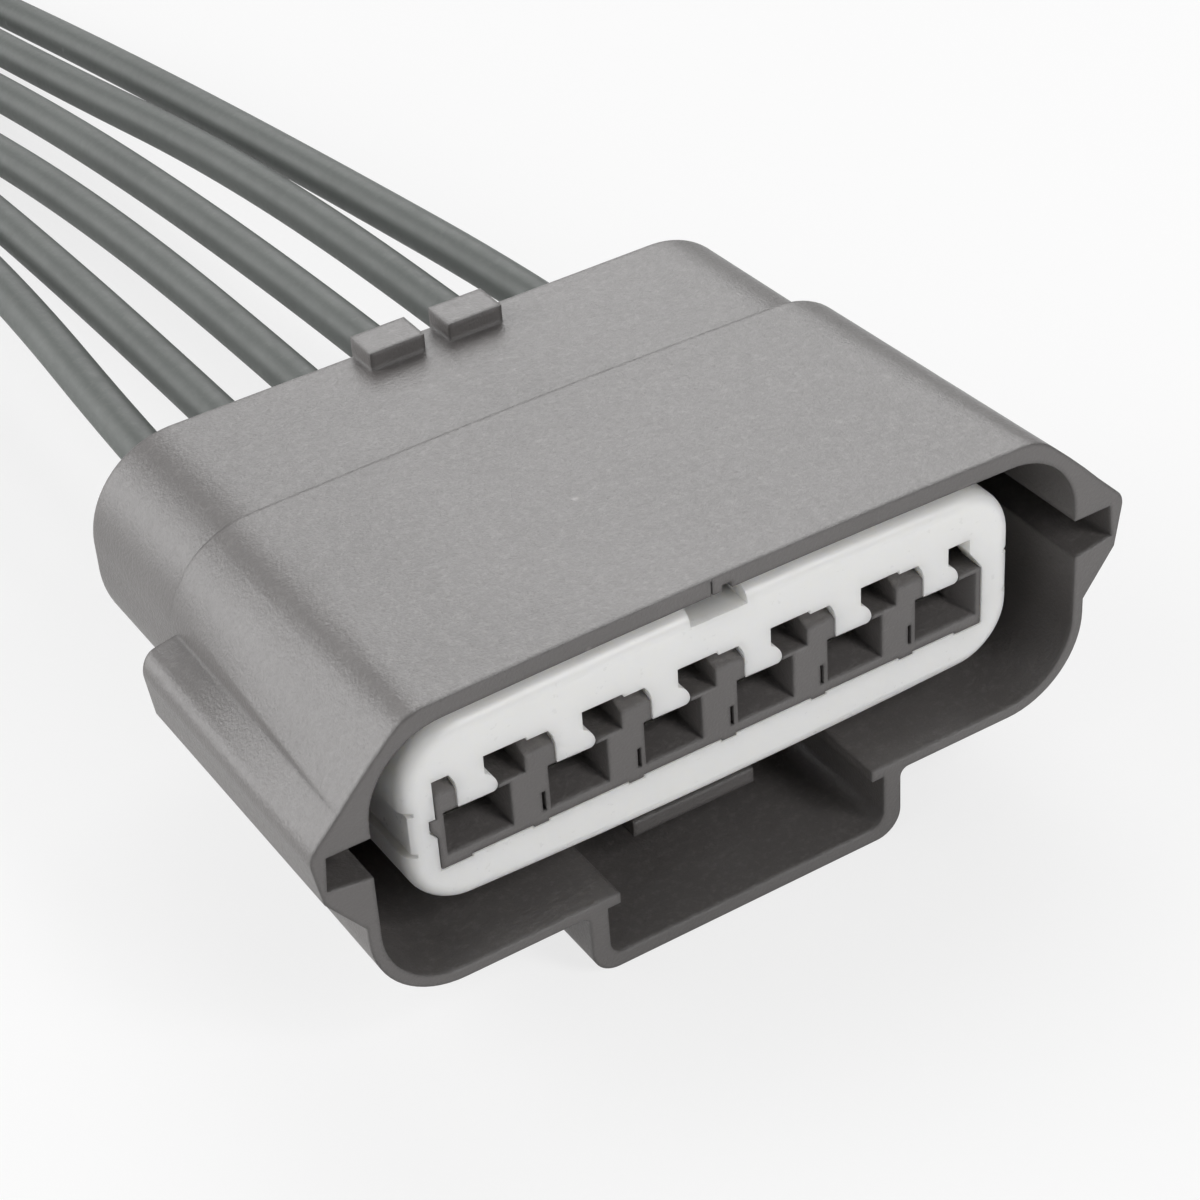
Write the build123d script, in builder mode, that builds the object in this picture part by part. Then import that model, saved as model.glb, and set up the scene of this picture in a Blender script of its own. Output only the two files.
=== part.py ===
from build123d import *
from math import cos, pi, radians, sin, tan
import os

os.makedirs("parts", exist_ok=True)

# Millimetres. X runs along the row of ways, Y from the mating face back to the leads, Z up.
# The origin is under the middle of the plug, on the plane that its latch guard rests on.
# A value whose name ends in depth, front, start or end is counted from the hood's front rim.

# The plug as a whole. Most heights are counted from the axis of the row of leads.
ways = 6
pitch = 4.7
overall_depth = 26.5
rear_length = 9.7
axis_z = 10.2
row_half = (ways - 1) / 2 * pitch
hood_depth = overall_depth - rear_length
front_y = -overall_depth / 2
rear_y = front_y + overall_depth

# Hood: roof, slanted shoulders that turn into round ones at the seam, and the skirt below
hood_height = axis_z + 7.8
roof_fall = 0.045
roof_crown = 0.18
roof_wall = 0.85
side_margin = 6.55
skirt_half = row_half + side_margin
roof_edge_x = skirt_half - 2.68
shoulder_angle = 46.0
shoulder_belly = 0.04
front_corner = 2.4
inner_corner = 3.72
seam_corner = 4.4
seam_half = skirt_half - 0.25
shoulder_low_z = axis_z + 1.8
skirt_bottom = 3.5
skirt_corner = 4.1
skirt_wall = 0.55
mating_depth = hood_depth - 2.3
web_overlap = 0.6

# Two fine marks at the middle of the hood's rim
tick_x = -1.33
tick_width = 0.1
tick_depth = 0.15
nick_left = -0.83
nick_right = -0.35
nick_rise = 0.3
nick_depth = 0.6

# Guide rails on the hood's sides, each with a groove for the counterpart's rib
rail_root_x = skirt_half + 0.6
rail_skin_x = skirt_half + 2.1
rail_inner_x = skirt_half - 1.3
rail_low_z = axis_z - 1.85
rail_knee_z = axis_z + 0.35
rail_crest_round = 1.0
rail_end_inset = 0.35
rail_end_knee_z = axis_z - 0.6
rail_end_crest_z = axis_z + 2.55
rail_end_root_z = axis_z + 2.95
rail_length = hood_depth - 0.6
rail_end_round = 1.1
groove_low_z = axis_z + 0.65
groove_high_z = axis_z + 2.64
groove_ramp = 0.3
groove_skin = 0.6
groove_length = 11.0
guide_face_x = skirt_half - 0.65
guide_draft = 0.25

# Latch guard under the skirt
guard_half = 8.15
guard_wall = 0.9
guard_floor = 0.72
guard_corner = 1.3
guard_inner_corner = 0.8
guard_flare = 0.45
lip_half = 6.6

# Terminal block inside the hood, and its nose that fills the retainer's window
block_half = row_half + 2.8
block_low_z = axis_z - 3.55
block_high_z = axis_z + 4.45
block_corner = 2.2
block_front = 3.1
nose_foot = 0.12
foot_left = -2.5
foot_right = -1.8
end_foot_left = -0.8
end_foot_right = 0.55
ear_reach = 0.31
ear_low_z = axis_z - 0.34
ear_tip_z = axis_z + 0.1
ear_high_z = axis_z + 0.62

# What every way has, measured from the way's own centre line
mouth_left = -1.65
mouth_right = 1.25
end_mouth_left = -1.91
end_mouth_right = 1.68
mouth_low_z = axis_z - 1.45
mouth_high_z = axis_z + 0.83
throat_left = -1.3
throat_right = 1.1
throat_low_z = axis_z - 1.15
throat_high_z = axis_z + 0.5
throat_length = 0.45
shelf_thickness = 0.17
post_left = 2.02
post_top_z = axis_z + 1.8
post_back_z = axis_z + 2.52
lance_pocket_length = 4.6
lance_pocket_high_z = axis_z + 2.7
lance_half = 0.85
lance_tip = 4.4
lance_root = 8.2
slit_left = -2.04
slit_width = 0.19
slit_high_z = axis_z - 0.4

# Rear body with the seal bores
body_half = skirt_half - 0.8
body_low_z = axis_z - 4.75
body_high_z = axis_z + 6.25
body_top_corner = 4.6
body_low_corner = 5.0
body_round = 0.4
bore_radius = 2.1
bore_length = 11.0

# Two catch lugs on top of the rear body
lug_inner_x = 0.65
lug_width = 2.85
lug_length = 1.9
lug_rise = 0.98
lug_inset = 0.1

# Front retainer. Its window is measured from the first and the last way's centre lines.
retainer_front = 1.54
retainer_half = block_half + 0.9
retainer_low_z = axis_z - 4.25
retainer_high_z = axis_z + 5.1
retainer_corner = 2.9
retainer_crown = 0.25
retainer_round = 0.75
retainer_gap = 0.1
window_left = -2.29
window_right = 2.02
window_low_z = axis_z - 1.98
window_high_z = axis_z + 2.77
window_bevel_x = 1.33
window_bevel_low_z = axis_z + 1.0
window_bevel_high_z = axis_z + 2.03
window_gap = 0.07
lintel_left = 2.2
lintel_drop = 0.17
tooth_left = -1.18
tooth_right = 0.15
tooth_low_z = axis_z + 0.8
tooth_length = 1.0
tooth_root = 0.32
tooth_root_z = axis_z + 1.7
hook_reach = 0.54
hook_top_z = axis_z + 1.83
notch_left = -1.45
notch_right = 1.4
notch_height = 0.75
end_slit_low_z = axis_z - 0.85
end_slit_high_z = axis_z + 1.3
end_slit_width = 0.22
end_slit_x = block_half + 0.4
end_tab_step = 0.25

# Lock lever in the guard, on its two torsion bars
lever_front = 4.3
lever_half = 3.2
lever_arm = 1.15
lever_thickness = 0.8
lever_bridge = 1.3
lever_axis_depth = hood_depth - 3.8
lever_axis_z = 2.77
lever_hub = 1.5
bar_radius = 0.6
bar_seat = 0.45
bar_gap = 0.05
pad_front = hood_depth + 0.6
pad_length = 5.0
pad_half = 4.6
pad_thickness = 1.3
pad_round = 0.8
pad_ribs = 3
pad_rib_height = 0.3
pad_rib_width = 0.6
pad_rib_pitch = 1.3

# Ring seal round the terminal block
ring_setback = 0.8
ring_ribs = 3
ring_rib_pitch = 1.3
ring_rib_width = 0.6
ring_base = 0.8
ring_rib_height = 0.5
retainer_ring_gap = 1.16

# Crimped receptacle terminals
box_half = 1.4
box_height = 2.0
box_mid_z = axis_z - 0.3
box_crimp_space = 1.45
sheet = 0.2
terminal_gap = 0.1
cavity_gap = 0.1
lance_space = 0.85
conductor_crimp_start = overall_depth - 14.0
conductor_crimp_length = 2.6
insulation_crimp_start = overall_depth - 9.9
insulation_crimp_length = 2.3
spring_rise = 0.7
spring_half = 0.7

# Leads and their seals
lead_radius = 1.1
conductor_radius = 0.62
lead_start = overall_depth - 10.9
strip_length = 3.1
seal_body_length = 5.8
seal_inset = 0.7
seal_ribs = 3
seal_rib_width = 0.8
seal_core_radius = 1.7
seal_squeeze = 0.02
seal_neck_radius = 1.5

# Places that follow from the values above
shelf_z = mouth_high_z + shelf_thickness
guard_space_half = guard_half - guard_wall
nose_front = retainer_front
nose_left = window_left - row_half + window_gap
nose_right = window_right + row_half - window_gap
nose_low_z = window_low_z + window_gap
nose_length = block_front - nose_front
ring_length = (ring_ribs - 1) * ring_rib_pitch + 2 * ring_rib_width
ring_start = mating_depth - ring_setback - ring_length
retainer_plate = block_front - retainer_gap - retainer_front
retainer_length = ring_start - retainer_ring_gap - retainer_front
cavity_half = box_half + cavity_gap
cavity_low_z = box_mid_z - box_height / 2 - cavity_gap
cavity_high_z = box_mid_z + box_height / 2 + lance_space
cavity_start = block_front + throat_length
bore_start = overall_depth - bore_length
seal_end = overall_depth - seal_inset
seal_start = seal_end - seal_body_length


def across(depth):
    """Plane across the plug at a depth behind the front rim: its own x is X and its own y is Z."""
    return Plane.XZ.offset(-front_y - depth)


def way_x(index):
    return (index - (ways - 1) / 2) * pitch


def mix(a, b, share):
    return tuple(p + (q - p) * share for p, q in zip(a, b))


def pane(depth, left, right, low_z, high_z):
    """Rectangle across the plug at a depth."""
    with BuildSketch(across(depth)) as section:
        with Locations(((left + right) / 2, (low_z + high_z) / 2)):
            Rectangle(right - left, high_z - low_z)
    return section.sketch


def rounded_pane(depth, half, low_z, high_z, corner):
    with BuildSketch(across(depth)) as section:
        with Locations((0, (low_z + high_z) / 2)):
            RectangleRounded(2 * half, high_z - low_z, corner)
    return section.sketch


def block_section(depth, grow):
    """Outline of the terminal block, grown by what fits over it."""
    return rounded_pane(
        depth, block_half + grow, block_low_z - grow, block_high_z + grow, block_corner + grow
    )


def slant_z(x):
    """Height of the hood's slanted shoulder at the front rim."""
    return hood_height - (x - roof_edge_x) * tan(radians(shoulder_angle))


def front_shoulder():
    """Corner and slant of the hood at its front rim, from the roof down to the rail's root."""
    angle = radians(shoulder_angle)
    start = (roof_edge_x - front_corner * tan(angle / 2), hood_height)
    middle = (
        start[0] + front_corner * sin(angle / 2),
        hood_height - front_corner * (1 - cos(angle / 2)),
    )
    knee = (start[0] + front_corner * sin(angle), hood_height - front_corner * (1 - cos(angle)))
    end = (rail_root_x, slant_z(rail_root_x))
    belly = (
        (knee[0] + end[0]) / 2 + shoulder_belly * sin(angle),
        (knee[1] + end[1]) / 2 + shoulder_belly * cos(angle),
    )
    return [start, middle, knee, belly, end]


def seam_shoulder():
    """The same five points at the seam, on one quarter round."""
    center_x = seam_half - seam_corner
    center_z = hood_height - roof_fall * hood_depth - seam_corner
    rest = 90 - shoulder_angle
    turns = [radians(a) for a in (90, 90 - shoulder_angle / 2, rest, rest / 2, 0)]
    return [(center_x + seam_corner * cos(a), center_z + seam_corner * sin(a)) for a in turns]


def hood_outline(points, depth):
    """Closed outline of the hood's upper part from the five points of its right shoulder."""
    start, middle, knee, belly, end = points
    with BuildSketch(across(depth)) as outline:
        with BuildLine():
            ThreePointArc((-start[0], start[1]), (0, start[1] + roof_crown), start)
            ThreePointArc(start, middle, knee)
            ThreePointArc(knee, belly, end)
            Polyline(end, (end[0], shoulder_low_z), (-end[0], shoulder_low_z), (-end[0], end[1]))
            ThreePointArc((-end[0], end[1]), (-belly[0], belly[1]), (-knee[0], knee[1]))
            ThreePointArc((-knee[0], knee[1]), (-middle[0], middle[1]), (-start[0], start[1]))
        make_face()
    return outline.sketch


def hood_space(depth, half):
    """Room under the roof: a crowned top and one large round corner at each side."""
    top = hood_height - roof_wall - roof_fall * depth
    reach = half - inner_corner
    with BuildSketch(across(depth)) as outline:
        with BuildLine():
            ThreePointArc((-reach, top), (0, top + roof_crown), (reach, top))
            TangentArc((reach, top), (half, top - inner_corner), tangent=(1, 0))
            Polyline(
                (half, top - inner_corner),
                (half, shoulder_low_z),
                (-half, shoulder_low_z),
                (-half, top - inner_corner),
            )
            TangentArc((-half, top - inner_corner), (-reach, top), tangent=(0, 1))
        make_face()
    return outline.sketch


def rail_section(depth, skin_x, knee_z, crest_z, root_x, root_z):
    """Guide rail across the plug: slanted top, round crest, and a skin that leans in below it."""
    with BuildSketch(across(depth)) as section:
        Polygon(
            (rail_inner_x, rail_low_z),
            (skirt_half, rail_low_z),
            (skin_x - 0.42, knee_z),
            (skin_x, crest_z),
            (root_x, root_z),
            (rail_inner_x, root_z),
            align=None,
        )
        fillet(section.vertices().sort_by(Axis.X)[-1], rail_crest_round)
    return section.sketch


def groove_section(depth, skin_x):
    """Groove in the guide rail: its floor rises a little towards the skin."""
    with BuildSketch(across(depth)) as section:
        Polygon(
            (guide_face_x - 0.5, groove_low_z),
            (guide_face_x + 0.35, groove_low_z),
            (skin_x, groove_low_z + groove_ramp),
            (skin_x - 0.15, groove_high_z),
            (guide_face_x - 0.5, groove_high_z),
            align=None,
        )
    return section.sketch


def trough(depth, half, low_z, high_z, corner):
    """Flat-topped section at a depth with two round lower corners."""
    with BuildSketch(across(depth)) as section:
        with Locations((0, (low_z + high_z) / 2)):
            Rectangle(2 * half, high_z - low_z)
        fillet(section.vertices().group_by(Axis.Y)[0], corner)
    return section.sketch


def body_section(depth):
    """Rear body, flat-sided with four large corners, a little lower towards the rear."""
    high_z = body_high_z + roof_fall * (overall_depth - depth)
    with BuildSketch(across(depth)) as section:
        with Locations((0, (body_low_z + high_z) / 2)):
            Rectangle(2 * body_half, high_z - body_low_z)
        fillet(section.vertices().group_by(Axis.Y)[0], body_low_corner)
        fillet(section.vertices().group_by(Axis.Y)[-1], body_top_corner)
    return section.sketch


def foot_spans():
    """Where the nose stands a little lower: under its ends and beside every slit."""
    spans = [(nose_left, way_x(0) + end_foot_left), (way_x(ways - 1) + end_foot_right, nose_right)]
    return spans + [(way_x(i) + foot_left, way_x(i) + foot_right) for i in range(1, ways)]


def ear_outline(gap):
    """Ear at the left end of the nose, grown by the gap round it."""
    with BuildSketch(across(nose_front)) as outline:
        Polygon(
            (nose_left, ear_low_z - gap),
            (nose_left - ear_reach - gap, ear_tip_z - gap),
            (nose_left - ear_reach - gap, ear_high_z + gap),
            (nose_left, ear_high_z + gap),
            align=None,
        )
    return outline.sketch


def tooth_outline(index, gap):
    """One tooth of the retainer: hooked to the right at its tip, flared to the left at its root."""
    left = way_x(index) + tooth_left
    right = way_x(index) + tooth_right
    tip = right + hook_reach
    top = window_high_z + 0.2
    flare_z = window_high_z - lintel_drop
    with BuildSketch(across(retainer_front)) as outline:
        with BuildLine():
            Polyline((left - tooth_root, flare_z), (left - tooth_root, top), (right, top), (right, hook_top_z))
            ThreePointArc(
                (right, hook_top_z),
                (right + 0.66 * hook_reach, hook_top_z - 0.28),
                (tip, hook_top_z - 0.73),
            )
            ThreePointArc(
                (tip, hook_top_z - 0.73),
                (tip - 0.06, tooth_low_z + 0.07),
                (tip - 0.24, tooth_low_z - 0.03),
            )
            Polyline((tip - 0.24, tooth_low_z - 0.03), (left, tooth_low_z), (left, tooth_root_z))
            ThreePointArc(
                (left, tooth_root_z),
                (left - 0.28 * tooth_root, (tooth_root_z + flare_z) / 2 + 0.06),
                (left - tooth_root, flare_z),
            )
        make_face()
        if gap:
            offset(amount=gap)
    return outline.sketch


def save(piece, name):
    piece.label = name
    export_step(piece, f"parts/{name}.step")


# Guide rail and the groove inside it, for the right side
with BuildPart() as rail:
    add(rail_section(0, rail_skin_x, rail_knee_z, slant_z(rail_skin_x), rail_root_x, slant_z(rail_root_x)))
    add(
        rail_section(
            rail_length,
            rail_skin_x - rail_end_inset,
            rail_end_knee_z,
            rail_end_crest_z,
            seam_half,
            rail_end_root_z,
        )
    )
    loft()
    with BuildSketch() as plan:
        with Locations(((rail_inner_x + rail_skin_x) / 2, front_y + rail_length / 2)):
            Rectangle(rail_skin_x - rail_inner_x, rail_length)
        fillet(plan.vertices().group_by(Axis.Y)[-1].sort_by(Axis.X)[-1:], rail_end_round)
    extrude(amount=hood_height, mode=Mode.INTERSECT)

with BuildPart() as groove:
    add(groove_section(0, rail_skin_x - groove_skin))
    add(groove_section(groove_length, rail_skin_x - 2 * groove_skin))
    loft()

with BuildPart() as mating_space:
    add(hood_space(0, guide_face_x))
    add(hood_space(mating_depth, guide_face_x - guide_draft))
    loft()
    skirt_space = trough(
        0, skirt_half - skirt_wall, skirt_bottom + skirt_wall, groove_high_z, skirt_corner - skirt_wall
    )
    extrude(skirt_space, amount=-mating_depth)

# Housing: hood, rails, latch guard, terminal block and rear body in one moulding
with BuildPart() as connector_housing:
    add(hood_outline(front_shoulder(), 0))
    add(hood_outline(seam_shoulder(), hood_depth))
    loft()
    extrude(trough(0, skirt_half, skirt_bottom, shoulder_low_z + 0.2, skirt_corner), amount=-hood_depth)
    add(rail.part)
    mirror(rail.part, about=Plane.YZ)
    with BuildSketch(across(0)) as guard:
        with Locations((0, (skirt_bottom + 0.2) / 2)):
            Rectangle(2 * guard_half, skirt_bottom + 0.2)
        fillet(guard.vertices().group_by(Axis.Y)[0], guard_corner)
        with Locations((0, skirt_bottom + 0.1 - guard_flare / 2)):
            Rectangle(2 * (guard_half + guard_flare), guard_flare + 0.2)
        with Locations(
            (guard_half + guard_flare, skirt_bottom - guard_flare),
            (-guard_half - guard_flare, skirt_bottom - guard_flare),
        ):
            Circle(guard_flare, mode=Mode.SUBTRACT)
    extrude(amount=-hood_depth)
    add(mating_space.part, mode=Mode.SUBTRACT)
    add(groove.part, mode=Mode.SUBTRACT)
    mirror(groove.part, about=Plane.YZ, mode=Mode.SUBTRACT)
    extrude(
        trough(0, guard_space_half, guard_floor, skirt_bottom, guard_inner_corner),
        amount=-hood_depth,
        mode=Mode.SUBTRACT,
    )
    extrude(
        pane(0, -lip_half, lip_half, skirt_bottom - skirt_wall, skirt_bottom + skirt_wall),
        amount=-hood_depth,
        mode=Mode.SUBTRACT,
    )
    underside_z = hood_height - roof_wall + roof_crown
    for left, right, low_z, high_z, length in (
        (tick_x - tick_width / 2, tick_x + tick_width / 2, underside_z - 0.1, underside_z + 0.7, tick_depth),
        (nick_left, nick_right, underside_z - 0.1, underside_z + nick_rise, nick_depth),
    ):
        extrude(pane(0, left, right, low_z, high_z), amount=-length, mode=Mode.SUBTRACT)

    # Sockets for the lever's torsion bars
    socket_reach = guard_space_half + bar_seat + bar_gap
    with BuildSketch(Plane.YZ.offset(-socket_reach)):
        with Locations((front_y + lever_axis_depth, lever_axis_z)):
            Circle(bar_radius + bar_gap)
    extrude(amount=2 * socket_reach, mode=Mode.SUBTRACT)

    # Terminal block and rear body
    extrude(block_section(block_front, 0), amount=-(mating_depth - block_front + web_overlap))
    add(body_section(hood_depth - web_overlap))
    add(body_section(overall_depth))
    loft()
    fillet(connector_housing.faces().sort_by(Axis.Y)[-1].outer_wire().edges(), body_round)

    # Nose with its feet, the ear at its left end and the posts that lean back above the shelf
    extrude(pane(nose_front, nose_left, nose_right, nose_low_z, shelf_z), amount=-nose_length)
    for left, right in foot_spans():
        foot = pane(nose_front, left, right, nose_low_z - nose_foot, nose_low_z)
        extrude(foot, amount=-nose_length)
    extrude(ear_outline(0), amount=-nose_length)
    post_lefts = [nose_left] + [way_x(i) + post_left for i in range(ways - 1)]
    post_rights = [way_x(i) + tooth_left - window_gap for i in range(ways)]
    for left, right in zip(post_lefts, post_rights):
        with BuildSketch(Plane.YZ.offset(left)):
            Polygon(
                (front_y + nose_front, mouth_high_z),
                (front_y + nose_front, post_top_z),
                (front_y + block_front, post_back_z),
                (front_y + block_front, mouth_high_z),
                align=None,
            )
        extrude(amount=right - left)

    # Each way: room for the tooth, funnel mouth, throat, terminal cavity, lance pocket, slit, seal bore
    for index in range(ways):
        x = way_x(index)
        left = end_mouth_left if index == 0 else mouth_left
        right = end_mouth_right if index == ways - 1 else mouth_right
        extrude(tooth_outline(index, window_gap), amount=-tooth_length - window_gap, mode=Mode.SUBTRACT)
        add(pane(nose_front, x + left, x + right, mouth_low_z, mouth_high_z))
        add(pane(block_front, x + throat_left, x + throat_right, throat_low_z, throat_high_z))
        loft(mode=Mode.SUBTRACT)
        for depth, left, right, low_z, high_z, length in (
            (block_front, throat_left, throat_right, throat_low_z, throat_high_z, throat_length),
            (cavity_start, -cavity_half, cavity_half, cavity_low_z, cavity_high_z, bore_start - cavity_start),
            (block_front, tooth_left, post_left, shelf_z, lance_pocket_high_z, lance_pocket_length),
        ):
            extrude(pane(depth, x + left, x + right, low_z, high_z), amount=-length, mode=Mode.SUBTRACT)
        if index:
            slit = pane(nose_front, x + slit_left, x + slit_left + slit_width, mouth_low_z, slit_high_z)
            extrude(slit, amount=-nose_length, mode=Mode.SUBTRACT)
        with BuildSketch(Plane.YZ.offset(x - lance_half)):
            Polygon(
                (front_y + lance_tip, box_mid_z + box_height / 2 + cavity_gap),
                (front_y + lance_tip, box_mid_z + box_height / 2 + 0.7),
                (front_y + lance_root, lance_pocket_high_z + 0.1),
                (front_y + lance_root, cavity_high_z - 0.1),
                (front_y + lance_tip + 0.8, box_mid_z + box_height / 2 + cavity_gap),
                align=None,
            )
        extrude(amount=2 * lance_half)
        with BuildSketch(across(bore_start)):
            with Locations((x, axis_z)):
                Circle(bore_radius)
        extrude(amount=-bore_length, mode=Mode.SUBTRACT)

    # Catch lugs
    for left in (lug_inner_x, -lug_inner_x - lug_width):
        lug = pane(
            overall_depth - lug_inset - lug_length,
            left,
            left + lug_width,
            body_high_z - 0.4,
            body_high_z + lug_rise,
        )
        extrude(lug, amount=-lug_length)

# Front retainer: a crowned cap with a skirt, six hooked teeth over its window, two sprung end tabs
with BuildPart() as front_retainer:
    with BuildSketch(across(retainer_front)):
        with BuildLine():
            reach = retainer_half - retainer_corner
            ThreePointArc(
                (-reach, retainer_high_z), (0, retainer_high_z + retainer_crown), (reach, retainer_high_z)
            )
            TangentArc(
                (reach, retainer_high_z), (retainer_half, retainer_high_z - retainer_corner), tangent=(1, 0)
            )
            Line(
                (retainer_half, retainer_high_z - retainer_corner),
                (retainer_half, retainer_low_z + retainer_corner),
            )
            TangentArc(
                (retainer_half, retainer_low_z + retainer_corner), (reach, retainer_low_z), tangent=(0, -1)
            )
            ThreePointArc(
                (reach, retainer_low_z), (0, retainer_low_z - retainer_crown), (-reach, retainer_low_z)
            )
            TangentArc(
                (-reach, retainer_low_z), (-retainer_half, retainer_low_z + retainer_corner), tangent=(-1, 0)
            )
            Line(
                (-retainer_half, retainer_low_z + retainer_corner),
                (-retainer_half, retainer_high_z - retainer_corner),
            )
            TangentArc(
                (-retainer_half, retainer_high_z - retainer_corner), (-reach, retainer_high_z), tangent=(0, 1)
            )
        make_face()
    extrude(amount=-retainer_length)
    fillet(front_retainer.faces().sort_by(Axis.Y)[0].edges(), retainer_round)
    extrude(
        block_section(retainer_front + retainer_plate, retainer_gap),
        amount=-retainer_length,
        mode=Mode.SUBTRACT,
    )

    # Window: lower above the posts, bevelled at its right end, with room for the nose's feet and ear
    with BuildSketch(across(retainer_front)) as window:
        Polygon(
            (window_left - row_half, window_low_z),
            (window_right + row_half, window_low_z),
            (window_right + row_half, window_bevel_low_z),
            (window_bevel_x + row_half, window_bevel_high_z),
            (window_bevel_x + row_half, window_high_z),
            (window_left - row_half, window_high_z),
            align=None,
        )
        for index in range(ways):
            left = max(way_x(index) + lintel_left - pitch, window_left - row_half - 0.1)
            right = way_x(index) + tooth_left - tooth_root
            with Locations(((left + right) / 2, window_high_z)):
                Rectangle(right - left, 2 * lintel_drop, mode=Mode.SUBTRACT)
        for left, right in foot_spans():
            with Locations(((left + right) / 2, window_low_z)):
                Rectangle(right - left + 2 * window_gap, 2 * nose_foot)
    extrude(amount=-retainer_plate, mode=Mode.SUBTRACT)
    extrude(ear_outline(window_gap), amount=-retainer_plate, mode=Mode.SUBTRACT)

    for index in range(ways):
        extrude(tooth_outline(index, 0), amount=-tooth_length)

    # Key notch in the top edge, and the slits that free the end tabs
    crest_z = retainer_high_z + retainer_crown
    extrude(
        pane(retainer_front, notch_left, notch_right, crest_z - notch_height, crest_z + 1),
        amount=-retainer_length,
        mode=Mode.SUBTRACT,
    )
    for side in (-1, 1):
        left, right = sorted((side * end_slit_x, side * (retainer_half + 0.1)))
        for low_z in (end_slit_low_z - end_slit_width / 2, end_slit_high_z - end_slit_width / 2):
            slit = pane(retainer_front, left, right, low_z, low_z + end_slit_width)
            extrude(slit, amount=-retainer_length, mode=Mode.SUBTRACT)
        left, right = sorted((side * (retainer_half - end_tab_step), side * (retainer_half + 0.1)))
        tab = pane(retainer_front, left, right, end_slit_low_z, end_slit_high_z)
        extrude(tab, amount=-retainer_length, mode=Mode.SUBTRACT)

# Lock lever: catch bridge, two arms, hub on the torsion bars, ribbed thumb pad
lever_y = front_y + lever_axis_depth
with BuildPart() as lock_lever:
    with BuildSketch(Plane.XY.offset(lever_axis_z - lever_thickness / 2)):
        with Locations((0, front_y + (lever_front + pad_front + pad_round) / 2)):
            Rectangle(2 * lever_half, pad_front + pad_round - lever_front)
        slot_front = front_y + lever_front + lever_bridge
        slot_back = lever_y - lever_hub
        with Locations((0, (slot_front + slot_back) / 2)):
            Rectangle(2 * (lever_half - lever_arm), slot_back - slot_front, mode=Mode.SUBTRACT)
    extrude(amount=lever_thickness)
    with BuildSketch(Plane.XY.offset(lever_axis_z + lever_thickness / 2 - pad_thickness)):
        with Locations((0, front_y + pad_front + pad_length / 2)):
            RectangleRounded(2 * pad_half, pad_length, pad_round)
    extrude(amount=pad_thickness)
    for index in range(pad_ribs):
        rib_y = front_y + pad_front + pad_length / 2 + (index - (pad_ribs - 1) / 2) * pad_rib_pitch
        with BuildSketch(Plane.XY.offset(lever_axis_z + lever_thickness / 2 - pad_thickness - pad_rib_height)):
            with Locations((0, rib_y)):
                Rectangle(2 * (pad_half - pad_round), pad_rib_width)
        extrude(amount=pad_rib_height + 0.1)
    bar_reach = guard_space_half + bar_seat
    with BuildSketch(Plane.YZ.offset(-bar_reach)):
        with Locations((lever_y, lever_axis_z)):
            Circle(bar_radius)
    extrude(amount=2 * bar_reach)

# Ring seal: base band with round-edged ribs
with BuildPart() as face_seal:
    extrude(block_section(ring_start, ring_base), amount=-ring_length)
    for index in range(ring_ribs):
        rib_start = ring_start + ring_rib_width / 2 + index * ring_rib_pitch
        extrude(block_section(rib_start, ring_base + ring_rib_height), amount=-ring_rib_width)
    extrude(block_section(ring_start, 0), amount=-ring_length, mode=Mode.SUBTRACT)

# Terminal on the plug's middle plane: contact box with its spring, trough and two crimps
box_start = cavity_start + terminal_gap
box_end = conductor_crimp_start - box_crimp_space
box_length = box_end - box_start
box_low_z = box_mid_z - box_height / 2
box_high_z = box_mid_z + box_height / 2
conductor_low_z = axis_z - conductor_radius - sheet
insulation_low_z = axis_z - seal_neck_radius - sheet
with BuildPart() as terminal:
    extrude(pane(box_start, -box_half, box_half, box_low_z, box_high_z), amount=-box_length)
    extrude(
        pane(box_start, sheet - box_half, box_half - sheet, box_low_z + sheet, box_high_z - sheet),
        amount=-box_length,
        mode=Mode.SUBTRACT,
    )
    with BuildSketch(Plane.YZ.offset(-spring_half)):
        with BuildLine():
            spring_y = front_y + box_start
            spring_z = box_high_z - sheet
            ThreePointArc(
                (spring_y + 0.6, spring_z + 0.05),
                (spring_y + 3.2, spring_z - spring_rise),
                (spring_y + 5.8, spring_z + 0.05),
            )
            Line((spring_y + 5.8, spring_z + 0.05), (spring_y + 5.5, spring_z + 0.05))
            ThreePointArc(
                (spring_y + 5.5, spring_z + 0.05),
                (spring_y + 3.2, spring_z - spring_rise + 0.15),
                (spring_y + 0.9, spring_z + 0.05),
            )
            Line((spring_y + 0.9, spring_z + 0.05), (spring_y + 0.6, spring_z + 0.05))
        make_face()
    extrude(amount=2 * spring_half)
    crimp_y = front_y + conductor_crimp_start
    clasp_y = front_y + insulation_crimp_start
    with BuildSketch(Plane.YZ.offset(-conductor_radius)):
        Polygon(
            (front_y + box_end - 0.4, box_low_z),
            (crimp_y + 0.3, conductor_low_z),
            (crimp_y + conductor_crimp_length - 0.3, conductor_low_z),
            (clasp_y + 0.3, insulation_low_z),
            (clasp_y + 0.3, insulation_low_z + sheet),
            (crimp_y + conductor_crimp_length - 0.3, conductor_low_z + sheet),
            (crimp_y + 0.3, conductor_low_z + sheet),
            (front_y + box_end - 0.4, box_low_z + sheet),
            align=None,
        )
    extrude(amount=2 * conductor_radius)
    for start, length, inner in (
        (conductor_crimp_start, conductor_crimp_length, conductor_radius),
        (insulation_crimp_start, insulation_crimp_length, seal_neck_radius),
    ):
        with BuildSketch(across(start)):
            with Locations((0, axis_z)):
                Circle(inner + sheet)
        extrude(amount=-length)
        with BuildSketch(across(start)):
            with Locations((0, axis_z)):
                Circle(inner)
        extrude(amount=-length, mode=Mode.SUBTRACT)

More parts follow.
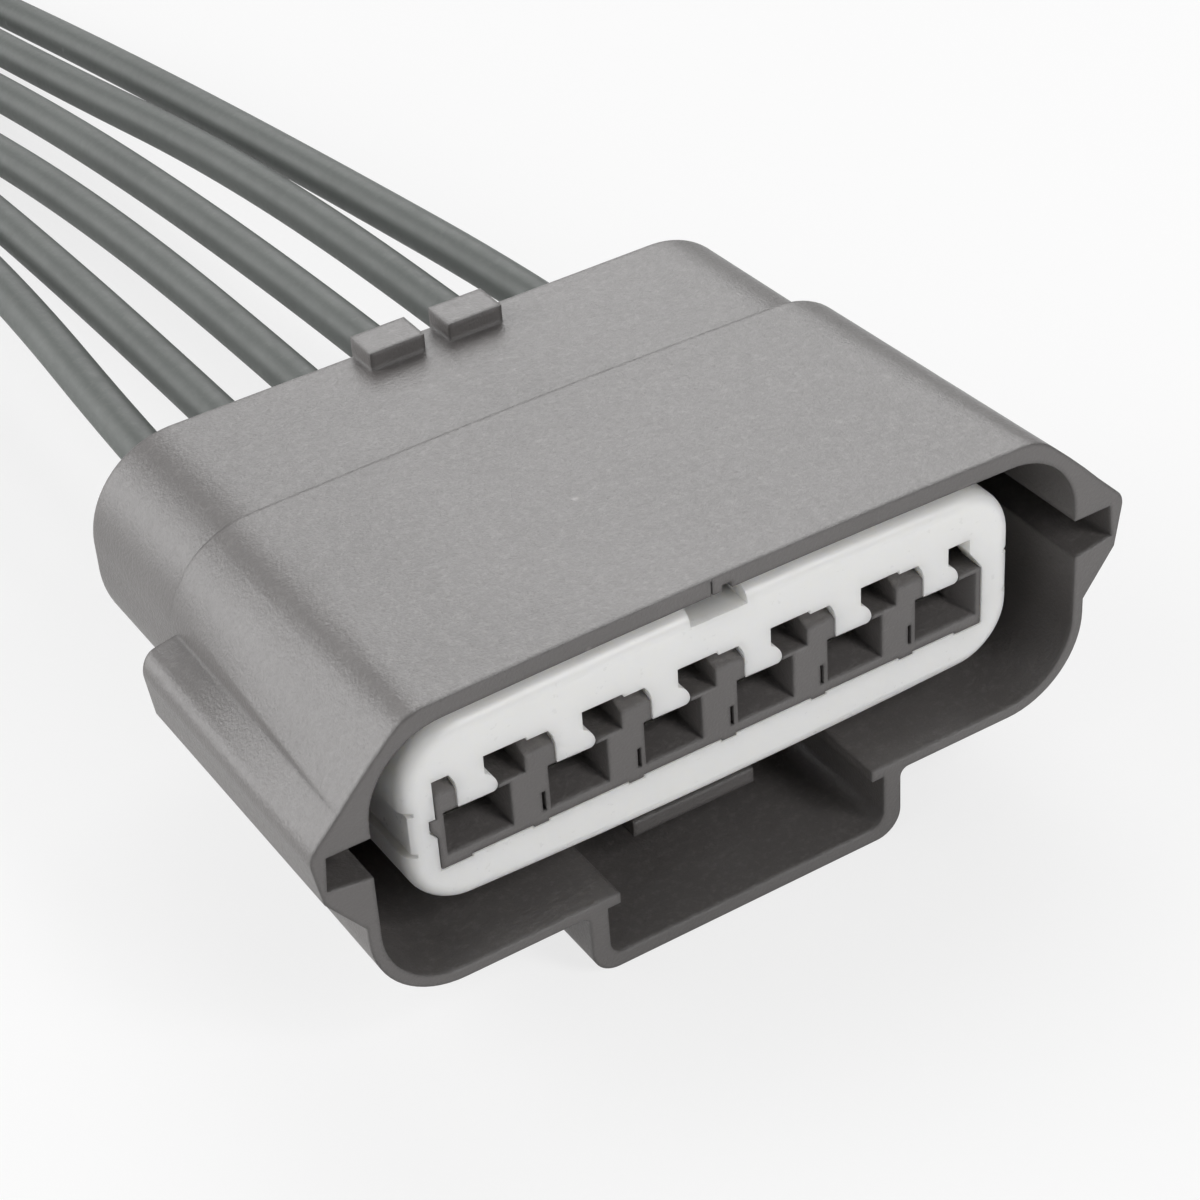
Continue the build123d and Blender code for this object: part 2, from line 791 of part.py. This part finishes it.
# Seal on the plug's middle plane: ribbed body in the bore, neck inside the insulation crimp
with BuildPart() as seal:
    with BuildSketch(across(insulation_crimp_start)):
        with Locations((0, axis_z)):
            Circle(seal_neck_radius)
    extrude(amount=-(seal_start - insulation_crimp_start))
    with BuildSketch(across(seal_start)):
        with Locations((0, axis_z)):
            Circle(seal_core_radius)
    extrude(amount=-seal_body_length)
    for index in range(seal_ribs):
        rib_step = (seal_body_length - seal_rib_width) / (seal_ribs - 1)
        with BuildSketch(across(seal_start + index * rib_step)):
            with Locations((0, axis_z)):
                Circle(bore_radius + seal_squeeze)
        extrude(amount=-seal_rib_width)
    with BuildSketch(across(insulation_crimp_start)):
        with Locations((0, axis_z)):
            Circle(lead_radius)
    extrude(amount=-(seal_end - insulation_crimp_start), mode=Mode.SUBTRACT)

save(connector_housing.part, "connector_housing")
save(front_retainer.part, "front_retainer")
save(lock_lever.part, "lock_lever")
save(face_seal.part, "face_seal")
for index in range(ways):
    save(Pos(way_x(index), 0, 0) * terminal.part, f"female_terminal_{index + 1}")
    save(Pos(way_x(index), 0, 0) * seal.part, f"wire_seal_{index + 1}")

# Leads: out through the seals in a row, down to the floor and on along it, to plain cut ends.
# A route gives steps to the side from the way's centre line, distances behind the rear face, heights.
route_heights = [axis_z - 0.05, 9.45, 5.7] + [lead_radius] * 3
lead_sides = [
    (0.03, 1.85, 2.45, 1.15, -0.05, 0.85),
    (0.05, -0.05, 0.85, -0.15, -0.35, -1.15),
    (0.05, -0.35, -0.95, -0.75, -1.95, -1.65),
    (0.05, -1.0, -1.05, -2.15, -1.95, -2.95),
    (0.0, -1.05, -2.45, -2.25, -3.45, -2.95),
    (-0.03, -3.05, -3.45, -3.85, -2.85, -3.45),
]
lead_ends = (135.75, 137.75, 136.75, 134.75, 137.75, 135.75)
for index, (sides, end) in enumerate(zip(lead_sides, lead_ends)):
    behind = [4.25, 30.75, 56.75, 83.75, end - 26, end]
    points = [Vector(way_x(index), front_y + lead_start, axis_z)]
    for side, distance, height in zip(sides, behind, route_heights):
        points.append(Vector(way_x(index) + side, rear_y + distance, height))
    runs = [b - a for a, b in zip(points, points[1:])]
    radii = []
    for before, after in zip(runs, runs[1:]):
        half_turn = radians(before.get_angle(after)) / 2
        radii.append(0.45 * min(before.length, after.length) / tan(half_turn))
    with BuildPart() as lead:
        with BuildLine() as path:
            FilletPolyline(*points, radius=radii)
        with BuildSketch(Plane(points[0], x_dir=(1, 0, 0), z_dir=runs[0])):
            Circle(lead_radius)
        sweep()
        tube = lead.part.volume
        with BuildSketch(across(lead_start - strip_length)):
            with Locations((way_x(index), axis_z)):
                Circle(conductor_radius)
        extrude(amount=-strip_length - 0.2)
    length = sum(edge.length for edge in path.edges())
    share = tube / (pi * lead_radius**2 * length)
    print("lead", index + 1, "length", round(length, 1), "volume share", round(share, 4))
    print("  radii", [round(r) for r in radii])
    save(lead.part, f"lead_{index + 1}")
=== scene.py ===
import bpy
from mathutils import Matrix, Vector


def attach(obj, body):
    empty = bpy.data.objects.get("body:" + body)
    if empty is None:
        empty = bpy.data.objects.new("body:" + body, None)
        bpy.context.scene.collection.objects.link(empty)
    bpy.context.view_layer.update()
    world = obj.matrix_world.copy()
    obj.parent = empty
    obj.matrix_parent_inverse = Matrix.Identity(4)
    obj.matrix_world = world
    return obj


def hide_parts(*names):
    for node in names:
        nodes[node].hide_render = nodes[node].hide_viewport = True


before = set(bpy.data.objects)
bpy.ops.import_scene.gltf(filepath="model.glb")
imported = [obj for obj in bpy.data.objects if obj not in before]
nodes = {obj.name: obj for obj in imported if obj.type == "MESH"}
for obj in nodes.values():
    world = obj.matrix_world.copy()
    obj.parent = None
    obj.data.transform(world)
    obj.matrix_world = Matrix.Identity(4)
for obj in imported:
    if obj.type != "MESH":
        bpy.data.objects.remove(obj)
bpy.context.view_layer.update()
scene = bpy.context.scene

# The row of ways, in millimetres as in the part's source
WAYS = 6
PITCH = 4.7


def in_metres(x, y, z):
    """The part is drawn in millimetres, the scene in metres."""
    return Vector((x, y, z)) / 1000


def way_x(number):
    return (number - (WAYS + 1) / 2) * PITCH


# Camera at the photograph's angle, for a square picture. Its place is in millimetres
CAMERA_PLACE = (-54.813, -96.492, 90.939)
CAMERA_RIGHT = (0.84132, -0.53743, -0.05784)
CAMERA_UP = (0.36065, 0.47841, 0.80066)
LENS_LENGTH = 91.737
SENSOR_WIDTH = 36
NEAREST_SEEN = 0.005
FARTHEST_SEEN = 20


def place_camera():
    lens = bpy.data.cameras.new("photo_camera")
    lens.sensor_width = SENSOR_WIDTH
    lens.lens = LENS_LENGTH
    lens.clip_start = NEAREST_SEEN
    lens.clip_end = FARTHEST_SEEN
    camera = bpy.data.objects.new("photo_camera", lens)
    scene.collection.objects.link(camera)
    right = Vector(CAMERA_RIGHT)
    up = Vector(CAMERA_UP)
    turn = Matrix((right, up, right.cross(up))).transposed().to_4x4()
    camera.matrix_world = Matrix.Translation(in_metres(*CAMERA_PLACE)) @ turn
    scene.camera = camera


# Small helpers for node trees, where a number may also be another node's output
def feed(tree, socket, value):
    if hasattr(value, "is_output"):
        tree.links.new(value, socket)
    else:
        socket.default_value = value


def calculate(tree, operation, *values):
    node = tree.nodes.new("ShaderNodeMath")
    node.operation = operation
    for socket, value in zip(node.inputs, values):
        feed(tree, socket, value)
    return node.outputs[0]


def noise(tree, place, scale, detail, roughness):
    node = tree.nodes.new("ShaderNodeTexNoise")
    node.inputs["Detail"].default_value = detail
    node.inputs["Roughness"].default_value = roughness
    feed(tree, node.inputs["Scale"], scale)
    tree.links.new(place, node.inputs["Vector"])
    return node.outputs["Fac"]


def stretch_span(tree, value, low, high, to_low=0.0, to_high=1.0):
    """The span low..high stretched over to_low..to_high, and held there."""
    node = tree.nodes.new("ShaderNodeMapRange")
    for name, amount in zip(("From Min", "From Max", "To Min", "To Max"), (low, high, to_low, to_high)):
        feed(tree, node.inputs[name], amount)
    tree.links.new(value, node.inputs["Value"])
    return node.outputs["Result"]


def blend_colours(tree, share, first, second):
    node = tree.nodes.new("ShaderNodeMix")
    node.data_type = "RGBA"
    feed(tree, node.inputs[0], share)
    for socket, colour in ((node.inputs[6], first), (node.inputs[7], second)):
        feed(tree, socket, colour if hasattr(colour, "is_output") else (*colour, 1.0))
    return node.outputs[2]


def stretch_place(tree, place, scale, turn):
    node = tree.nodes.new("ShaderNodeMapping")
    node.inputs["Scale"].default_value = scale
    node.inputs["Rotation"].default_value = turn
    tree.links.new(place, node.inputs["Vector"])
    return node.outputs["Vector"]


def new_group(name, inputs, outputs):
    """Shader group with named numbers going in and named masks or heights coming out."""
    group = bpy.data.node_groups.new(name, "ShaderNodeTree")
    for socket_name, default in inputs.items():
        socket = group.interface.new_socket(socket_name, in_out="INPUT", socket_type="NodeSocketFloat")
        socket.default_value = default
    for socket_name in outputs:
        group.interface.new_socket(socket_name, in_out="OUTPUT", socket_type="NodeSocketFloat")
    given = group.nodes.new("NodeGroupInput").outputs
    wanted = group.nodes.new("NodeGroupOutput").inputs
    place = group.nodes.new("ShaderNodeTexCoord").outputs["Object"]
    return group, given, wanted, place


# Mould texture: coarse waves under the fine grain, and the span of noise that makes the drift of tone
COARSE_SCALE_SHARE = 0.3
COARSE_HEIGHT_SHARE = 0.4
DRIFT_SPAN = (0.3, 0.7)


def build_mould_texture():
    """Spark-eroded skin of a moulding: fine relief, and a broad faint drift of its tone."""
    group, given, wanted, place = new_group(
        "mould_texture", {"Grain Scale": 6000.0, "Drift Scale": 110.0}, ("Relief", "Drift")
    )
    fine = noise(group, place, given["Grain Scale"], detail=2.0, roughness=0.6)
    coarse_scale = calculate(group, "MULTIPLY", given["Grain Scale"], COARSE_SCALE_SHARE)
    coarse = noise(group, place, coarse_scale, detail=2.0, roughness=0.5)
    relief = calculate(group, "MULTIPLY_ADD", coarse, COARSE_HEIGHT_SHARE, fine)
    group.links.new(relief, wanted["Relief"])
    drift = noise(group, place, given["Drift Scale"], detail=3.0, roughness=0.5)
    group.links.new(stretch_span(group, drift, *DRIFT_SPAN), wanted["Drift"])
    return group


# Handling marks. A scratch is a crest of noise that is drawn out one way, and shows only inside a patch
SCRATCH_STRETCH = (0.12, 2.4, 1.5)
SCRATCH_TURNS = ((0.0, 0.0, 0.5), (0.3, 0.1, 2.2))
SCRATCH_FINENESS = 8.0
SCRATCH_CREST = (0.74, 0.80)
SCRATCH_PATCH = (0.52, 0.66)
SPECK_CHANCE = (0.93, 0.95)
SPECK_EDGE = (0.05, 0.10)
DUST_SCALE = 2600.0
DUST_FILM = (0.50, 0.74)
DUST_SLOPE = (0.5, 1.0)


def build_handling_marks():
    """Marks of handling: short fine scratches, a few pale specks and dust that settles on top."""
    group, given, wanted, place = new_group(
        "handling_marks", {"Speck Scale": 420.0, "Scratch Scale": 260.0}, ("Scratches", "Specks", "Dust")
    )
    fine_scale = calculate(group, "MULTIPLY", given["Scratch Scale"], SCRATCH_FINENESS)
    lines = []
    for turn in SCRATCH_TURNS:
        along = stretch_place(group, place, SCRATCH_STRETCH, turn)
        fibre = noise(group, along, fine_scale, detail=1.0, roughness=0.4)
        lines.append(stretch_span(group, fibre, *SCRATCH_CREST))
    cloud = noise(group, place, given["Scratch Scale"], detail=2.0, roughness=0.5)
    patch = stretch_span(group, cloud, *SCRATCH_PATCH)
    scratches = calculate(group, "MULTIPLY", calculate(group, "MAXIMUM", *lines), patch)
    group.links.new(scratches, wanted["Scratches"])

    cells = group.nodes.new("ShaderNodeTexVoronoi")
    feed(group, cells.inputs["Scale"], given["Speck Scale"])
    group.links.new(place, cells.inputs["Vector"])
    lot = group.nodes.new("ShaderNodeSeparateColor")
    group.links.new(cells.outputs["Color"], lot.inputs[0])
    chosen = stretch_span(group, lot.outputs[0], *SPECK_CHANCE)
    dot = stretch_span(group, cells.outputs["Distance"], *SPECK_EDGE, to_low=1.0, to_high=0.0)
    group.links.new(calculate(group, "MULTIPLY", chosen, dot), wanted["Specks"])

    facing = group.nodes.new("ShaderNodeSeparateXYZ")
    group.links.new(group.nodes.new("ShaderNodeNewGeometry").outputs["Normal"], facing.inputs[0])
    upwards = stretch_span(group, facing.outputs["Z"], *DUST_SLOPE)
    film = stretch_span(group, noise(group, place, DUST_SCALE, detail=5.0, roughness=0.75), *DUST_FILM)
    group.links.new(calculate(group, "MULTIPLY", upwards, film), wanted["Dust"])
    return group


mould_texture = build_mould_texture()
handling_marks = build_handling_marks()


def use_group(tree, group, **values):
    node = tree.nodes.new("ShaderNodeGroup")
    node.node_tree = group
    for name, value in values.items():
        node.inputs[name.replace("_", " ").title()].default_value = value
    return node.outputs


def new_material(name):
    material = bpy.data.materials.new(name)
    material.use_nodes = True
    tree = material.node_tree
    return material, tree, tree.nodes["Principled BSDF"]


# How finely the look of a round edge is sampled
EDGE_SAMPLES = 3


def give_relief(tree, shader, height, strength, distance, edge_round=0.0):
    """Fine relief. With edge_round, a sharp edge of the mesh also looks rounded, by that many metres."""
    bump = tree.nodes.new("ShaderNodeBump")
    if edge_round:
        edges = tree.nodes.new("ShaderNodeBevel")
        edges.samples = EDGE_SAMPLES
        edges.inputs["Radius"].default_value = edge_round
        tree.links.new(edges.outputs["Normal"], bump.inputs["Normal"])
    bump.inputs["Strength"].default_value = strength
    bump.inputs["Distance"].default_value = distance
    tree.links.new(height, bump.inputs["Height"])
    tree.links.new(bump.outputs["Normal"], shader.inputs["Normal"])


# What all mouldings share: how strongly relief, scratches, worn spots and dust show on them
RELIEF_SPAN = (0.4, 1.0)
MOULDED_BUMP = 0.6
SCRATCH_COLOUR_SHARE = 0.25
SCRATCH_POLISH = -0.12
DUST_SHARE = 0.22
DUST_COLOUR = (0.42, 0.41, 0.39)
RUBBED_GAIN = 1.8
RUBBED_LIFT = 0.05


def rubbed(colour):
    """The paler colour of a worn spot."""
    return tuple(min(1.0, RUBBED_GAIN * part + RUBBED_LIFT) for part in colour)


def moulded(name, dark, light, roughness, grain_scale, relief, marks, edge_round=0.0):
    """Moulded plastic or rubber: tone that drifts from dark to light, fine relief, marks by a share."""
    material, tree, shader = new_material(name)
    skin = use_group(tree, mould_texture, grain_scale=grain_scale)
    worn = use_group(tree, handling_marks)
    faint_lines = calculate(tree, "MULTIPLY", worn["Scratches"], SCRATCH_COLOUR_SHARE)
    spots = calculate(tree, "MAXIMUM", worn["Specks"], faint_lines)
    dust = calculate(tree, "MULTIPLY", worn["Dust"], DUST_SHARE * marks)
    colour = blend_colours(tree, skin["Drift"], dark, light)
    colour = blend_colours(tree, calculate(tree, "MULTIPLY", spots, marks), colour, rubbed(light))
    colour = blend_colours(tree, dust, colour, DUST_COLOUR)
    tree.links.new(colour, shader.inputs["Base Color"])
    grained = stretch_span(tree, skin["Relief"], *RELIEF_SPAN, *roughness)
    polished = calculate(tree, "MULTIPLY", worn["Scratches"], SCRATCH_POLISH * marks)
    tree.links.new(calculate(tree, "ADD", grained, polished), shader.inputs["Roughness"])
    give_relief(tree, shader, skin["Relief"], MOULDED_BUMP, relief, edge_round)
    return material


def make_housing_plastic():
    material = moulded(
        "grey_housing_plastic",
        dark=(0.098, 0.091, 0.088),
        light=(0.120, 0.112, 0.109),
        roughness=(0.33, 0.46),
        grain_scale=6500.0,
        relief=0.00005,
        marks=0.8,
        edge_round=0.0003,
    )
    material.node_tree.nodes["Principled BSDF"].inputs["Specular IOR Level"].default_value = 0.85
    return material


def make_retainer_plastic():
    """Off-white plastic that light sinks into, so that its edges and shaded sides glow."""
    material = moulded(
        "off_white_retainer_plastic",
        dark=(0.950, 0.936, 0.890),
        light=(0.962, 0.949, 0.906),
        roughness=(0.26, 0.36),
        grain_scale=2600.0,
        relief=0.000006,
        marks=0.0,
    )
    shader = material.node_tree.nodes["Principled BSDF"]
    shader.inputs["Subsurface Weight"].default_value = 0.7
    shader.inputs["Subsurface Radius"].default_value = (1.0, 0.97, 0.88)
    shader.inputs["Subsurface Scale"].default_value = 0.0018
    return material


def make_lead_insulation():
    return moulded(
        "dark_lead_insulation",
        dark=(0.080, 0.089, 0.083),
        light=(0.100, 0.110, 0.103),
        roughness=(0.46, 0.58),
        grain_scale=1800.0,
        relief=0.00002,
        marks=0.4,
    )


def make_seal_rubber():
    return moulded(
        "red_brown_seal_rubber",
        dark=(0.17, 0.032, 0.017),
        light=(0.20, 0.042, 0.022),
        roughness=(0.48, 0.60),
        grain_scale=2400.0,
        relief=0.00001,
        marks=0.2,
    )


# Tin on the strip that the terminals are stamped from, and on the strands of the leads
TIN_DULL = (0.52, 0.50, 0.46)
TIN_BRIGHT = (0.62, 0.60, 0.56)
TIN_ROUGHNESS = (0.24, 0.38)
TIN_GRAIN_SCALE = 3200.0
TIN_BUMP = 0.3
TIN_RELIEF = 0.000005


def make_plated_strip():
    material, tree, shader = new_material("tin_plated_strip")
    skin = use_group(tree, mould_texture, grain_scale=TIN_GRAIN_SCALE)
    tree.links.new(blend_colours(tree, skin["Drift"], TIN_DULL, TIN_BRIGHT), shader.inputs["Base Color"])
    grained = stretch_span(tree, skin["Relief"], *RELIEF_SPAN, *TIN_ROUGHNESS)
    tree.links.new(grained, shader.inputs["Roughness"])
    shader.inputs["Metallic"].default_value = 1.0
    give_relief(tree, shader, skin["Relief"], TIN_BUMP, TIN_RELIEF)
    return material


def paint(node, material):
    for place in nodes[node].material_slots:
        place.link = "OBJECT"
        place.material = material
    if not nodes[node].material_slots:
        nodes[node].data.materials.append(material)


# Routes of the leads, in millimetres, through the same points as in the part's source
LEAD_START_Y = 2.35
AXIS_Z = 10.2
REAR_Y = 13.25
LEAD_SIDES = (
    (0.03, 1.85, 2.45, 1.15, -0.05, 0.85),
    (0.05, -0.05, 0.85, -0.15, -0.35, -1.15),
    (0.05, -0.35, -0.95, -0.75, -1.95, -1.65),
    (0.05, -1.0, -1.05, -2.15, -1.95, -2.95),
    (0.0, -1.05, -2.45, -2.25, -3.45, -2.95),
    (-0.03, -3.05, -3.45, -3.85, -2.85, -3.45),
)
LEAD_STEPS_BACK = (4.25, 30.75, 56.75, 83.75)
LAST_STRETCH = 26
LEAD_ENDS = (135.75, 137.75, 136.75, 134.75, 137.75, 135.75)
LEAD_HEIGHTS = (AXIS_Z - 0.05, 9.45, 5.7, 1.1, 1.1, 1.1)

# Sizes of the leads in metres. The insulation ends a little before the strands do
LEAD_DIAMETER = 0.0022
STRIPPED_END = 0.0003
LEAD_STEPS_PER_POINT = 12
LEAD_ROUND_STEPS = 6


def lead_route(number):
    """From the crimp through six points, each beside its way, behind the rear face and above the floor."""
    middle = way_x(number)
    end = LEAD_ENDS[number - 1]
    steps_back = (*LEAD_STEPS_BACK, end - LAST_STRETCH, end)
    points = [in_metres(middle, LEAD_START_Y, AXIS_Z)]
    for side, back, height in zip(LEAD_SIDES[number - 1], steps_back, LEAD_HEIGHTS):
        points.append(in_metres(middle + side, REAR_Y + back, height))
    return points


def end_heading(route):
    return (route[-1] - route[-2]).normalized()


def lay_lead(number, material):
    points = lead_route(number)
    points[-1] = points[-1] - end_heading(points) * STRIPPED_END
    line = bpy.data.curves.new(f"wire_{number}", "CURVE")
    line.dimensions = "3D"
    line.resolution_u = LEAD_STEPS_PER_POINT
    line.bevel_depth = LEAD_DIAMETER / 2
    line.bevel_resolution = LEAD_ROUND_STEPS
    line.use_fill_caps = True
    spline = line.splines.new("NURBS")
    spline.points.add(len(points) - 1)
    for place, point in zip(spline.points, points):
        place.co = (*point, 1.0)
    spline.order_u = 3
    spline.use_endpoint_u = True
    wire = bpy.data.objects.new(f"wire_{number}", line)
    scene.collection.objects.link(wire)
    line.materials.append(material)
    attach(wire, "plug_body")
    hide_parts(f"lead_{number}")


# Cut ends of the leads: a centre strand and two rings of strands round it, in metres
STRAND_SIZES = {"Strand Radius": 0.000122, "Strand Step": 0.00025, "Strand Length": 0.0012}
STRAND_RINGS = (1, 2)
STRANDS_IN_FIRST_RING = 6
STRAND_FACETS = 10


def build_strand_places(tree, step):
    """Points for one bundle: its centre, and a circle for each ring."""
    places = tree.nodes.new("GeometryNodeJoinGeometry")
    centre = tree.nodes.new("GeometryNodeMeshLine")
    centre.inputs["Count"].default_value = 1
    tree.links.new(centre.outputs["Mesh"], places.inputs[0])
    for ring in STRAND_RINGS:
        circle = tree.nodes.new("GeometryNodeMeshCircle")
        circle.inputs["Vertices"].default_value = STRANDS_IN_FIRST_RING * ring
        tree.links.new(calculate(tree, "MULTIPLY", step, ring), circle.inputs["Radius"])
        tree.links.new(circle.outputs["Mesh"], places.inputs[0])
    return places.outputs[0]


def build_strand_tree(material):
    """A bundle of strands on each point, turned to the point's own direction."""
    tree = bpy.data.node_groups.new("strand_bundle", "GeometryNodeTree")
    tree.interface.new_socket("Ends", in_out="INPUT", socket_type="NodeSocketGeometry")
    for name in STRAND_SIZES:
        tree.interface.new_socket(name, in_out="INPUT", socket_type="NodeSocketFloat")
    tree.interface.new_socket("Strands", in_out="OUTPUT", socket_type="NodeSocketGeometry")
    given = tree.nodes.new("NodeGroupInput").outputs
    strand = tree.nodes.new("GeometryNodeMeshCylinder")
    strand.inputs["Vertices"].default_value = STRAND_FACETS
    tree.links.new(given["Strand Radius"], strand.inputs["Radius"])
    tree.links.new(given["Strand Length"], strand.inputs["Depth"])
    bundle = tree.nodes.new("GeometryNodeInstanceOnPoints")
    tree.links.new(build_strand_places(tree, given["Strand Step"]), bundle.inputs["Points"])
    tree.links.new(strand.outputs["Mesh"], bundle.inputs["Instance"])
    direction = tree.nodes.new("GeometryNodeInputNamedAttribute")
    direction.data_type = "FLOAT_VECTOR"
    direction.inputs["Name"].default_value = "direction"
    turn = tree.nodes.new("FunctionNodeAlignRotationToVector")
    turn.axis = "Z"
    tree.links.new(direction.outputs["Attribute"], turn.inputs["Vector"])
    laid = tree.nodes.new("GeometryNodeInstanceOnPoints")
    tree.links.new(given["Ends"], laid.inputs["Points"])
    tree.links.new(bundle.outputs[0], laid.inputs["Instance"])
    tree.links.new(turn.outputs["Rotation"], laid.inputs["Rotation"])
    real = tree.nodes.new("GeometryNodeRealizeInstances")
    tree.links.new(laid.outputs[0], real.inputs[0])
    coat = tree.nodes.new("GeometryNodeSetMaterial")
    coat.inputs["Material"].default_value = material
    tree.links.new(real.outputs[0], coat.inputs["Geometry"])
    tree.links.new(coat.outputs[0], tree.nodes.new("NodeGroupOutput").inputs[0])
    return tree


def mark_cut_ends():
    """One point in the middle of each bundle, which knows which way its lead runs."""
    routes = [lead_route(number) for number in range(1, WAYS + 1)]
    half = STRAND_SIZES["Strand Length"] / 2
    ends = bpy.data.meshes.new("lead_cut_ends")
    ends.from_pydata([route[-1] - end_heading(route) * half for route in routes], [], [])
    facing = ends.attributes.new("direction", "FLOAT_VECTOR", "POINT")
    for place, route in zip(facing.data, routes):
        place.vector = end_heading(route)
    draft = bpy.data.objects.new("strand_draft", ends)
    scene.collection.objects.link(draft)
    return draft


def lay_strands(material):
    draft = mark_cut_ends()
    grow = draft.modifiers.new("strands", "NODES")
    grow.node_group = build_strand_tree(material)
    for socket in grow.node_group.interface.items_tree:
        if socket.name in STRAND_SIZES:
            grow[socket.identifier] = STRAND_SIZES[socket.name]
    grown = draft.evaluated_get(bpy.context.evaluated_depsgraph_get())
    mesh = bpy.data.meshes.new_from_object(grown)
    mesh.name = "cut_strands"
    bpy.data.objects.remove(draft)
    strands = bpy.data.objects.new("cut_strands", mesh)
    scene.collection.objects.link(strands)
    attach(strands, "plug_body")


# Studio floor, near white, a hair below the plug so that their faces don't mix
FLOOR_SIZE = 4.0
FLOOR_DROP = 0.00001
FLOOR_COLOUR = (0.82, 0.82, 0.82, 1)
FLOOR_ROUGHNESS = 0.9
FLOOR_SHEEN = 0.1
WHITE = (1, 1, 1, 1)
WHITE_TO_CAMERA = 0.75
WHITE_IN_MIRRORS = 0.4


def blend_shaders(tree, share, first, second):
    node = tree.nodes.new("ShaderNodeMixShader")
    for socket, value in zip(node.inputs, (share, first, second)):
        tree.links.new(value, socket)
    return node.outputs[0]


def lay_floor():
    """The camera and mirrors see it paler than it is, and its share of real floor keeps the soft shadow."""
    bpy.ops.mesh.primitive_plane_add(size=FLOOR_SIZE, location=(0, 0, -FLOOR_DROP))
    floor = bpy.context.object
    floor.name = "studio_floor"
    material, tree, shader = new_material("pale_studio_floor")
    shader.inputs["Base Color"].default_value = FLOOR_COLOUR
    shader.inputs["Roughness"].default_value = FLOOR_ROUGHNESS
    shader.inputs["Specular IOR Level"].default_value = FLOOR_SHEEN
    white = tree.nodes.new("ShaderNodeEmission")
    white.inputs["Color"].default_value = WHITE
    rays = tree.nodes.new("ShaderNodeLightPath").outputs
    seen = calculate(tree, "MULTIPLY", rays["Is Camera Ray"], WHITE_TO_CAMERA)
    mirrored = calculate(tree, "MAXIMUM", rays["Is Glossy Ray"], rays["Is Transmission Ray"])
    mirrored = calculate(tree, "MULTIPLY", mirrored, WHITE_IN_MIRRORS)
    share = calculate(tree, "MAXIMUM", seen, mirrored)
    pale = blend_shaders(tree, share, shader.outputs[0], white.outputs[0])

    # Looked at from below, the floor is clear, so that the underside can be seen
    back = tree.nodes.new("ShaderNodeNewGeometry").outputs["Backfacing"]
    clear = tree.nodes.new("ShaderNodeBsdfTransparent").outputs[0]
    seen_from_below = calculate(tree, "MULTIPLY", back, rays["Is Camera Ray"])
    whole = blend_shaders(tree, seen_from_below, pale, clear)
    tree.links.new(whole, tree.nodes["Material Output"].inputs["Surface"])
    floor.data.materials.append(material)


# Dim room with three soft windows: behind the plug on the right and the left, and at its left side
AMBIENT = 0.04
WINDOWS = (
    ((0.42, 0.66, 0.62), 0.85, 0.97, 3.5),
    ((-0.68, 0.66, 0.30), 0.79, 0.96, 3.4),
    ((-0.95, 0.05, 0.30), 0.60, 0.92, 1.1),
)

# Square softboxes in front, aimed at the plug: place and side in metres, and power in watts
SOFTBOXES = (
    ("front_right_softbox", (0.28, -0.62, 0.34), 0.30, 2.0),
    ("high_front_softbox", (0.22, -0.42, 0.50), 0.14, 0.7),
)


def build_room():
    """A window has a direction, the cosines to it where its light starts and is full, and a strength."""
    world = bpy.data.worlds.new("studio_world")
    world.use_nodes = True
    tree = world.node_tree
    background = tree.nodes["Background"]
    direction = tree.nodes.new("ShaderNodeTexCoord").outputs["Generated"]
    glow = AMBIENT
    for middle, start, full, strength in WINDOWS:
        towards = tree.nodes.new("ShaderNodeVectorMath")
        towards.operation = "DOT_PRODUCT"
        tree.links.new(direction, towards.inputs[0])
        towards.inputs[1].default_value = Vector(middle).normalized()
        window = stretch_span(tree, towards.outputs["Value"], start, full, 0.0, strength)
        glow = calculate(tree, "ADD", window, glow)
    rays = tree.nodes.new("ShaderNodeLightPath").outputs
    level = stretch_span(tree, rays["Is Camera Ray"], 0.0, 1.0, glow, 1.0)
    tree.links.new(level, background.inputs["Strength"])
    background.inputs["Color"].default_value = WHITE
    scene.world = world


def hang_softbox(name, place, side, power):
    light = bpy.data.lights.new(name, "AREA")
    light.shape = "SQUARE"
    light.size = side
    light.energy = power
    lamp = bpy.data.objects.new(name, light)
    scene.collection.objects.link(lamp)
    lamp.location = place
    lamp.rotation_euler = (-Vector(place)).to_track_quat("-Z", "Y").to_euler()


place_camera()
housing_plastic = make_housing_plastic()
retainer_plastic = make_retainer_plastic()
lead_insulation = make_lead_insulation()
seal_rubber = make_seal_rubber()
plated_strip = make_plated_strip()
paint("connector_housing", housing_plastic)
paint("lock_lever", housing_plastic)
paint("front_retainer", retainer_plastic)
paint("face_seal", seal_rubber)
for number in range(1, WAYS + 1):
    paint(f"female_terminal_{number}", plated_strip)
    paint(f"wire_seal_{number}", seal_rubber)
    lay_lead(number, lead_insulation)
lay_strands(plated_strip)
lay_floor()
build_room()
for softbox in SOFTBOXES:
    hang_softbox(*softbox)

scene.view_settings.view_transform = "Standard"
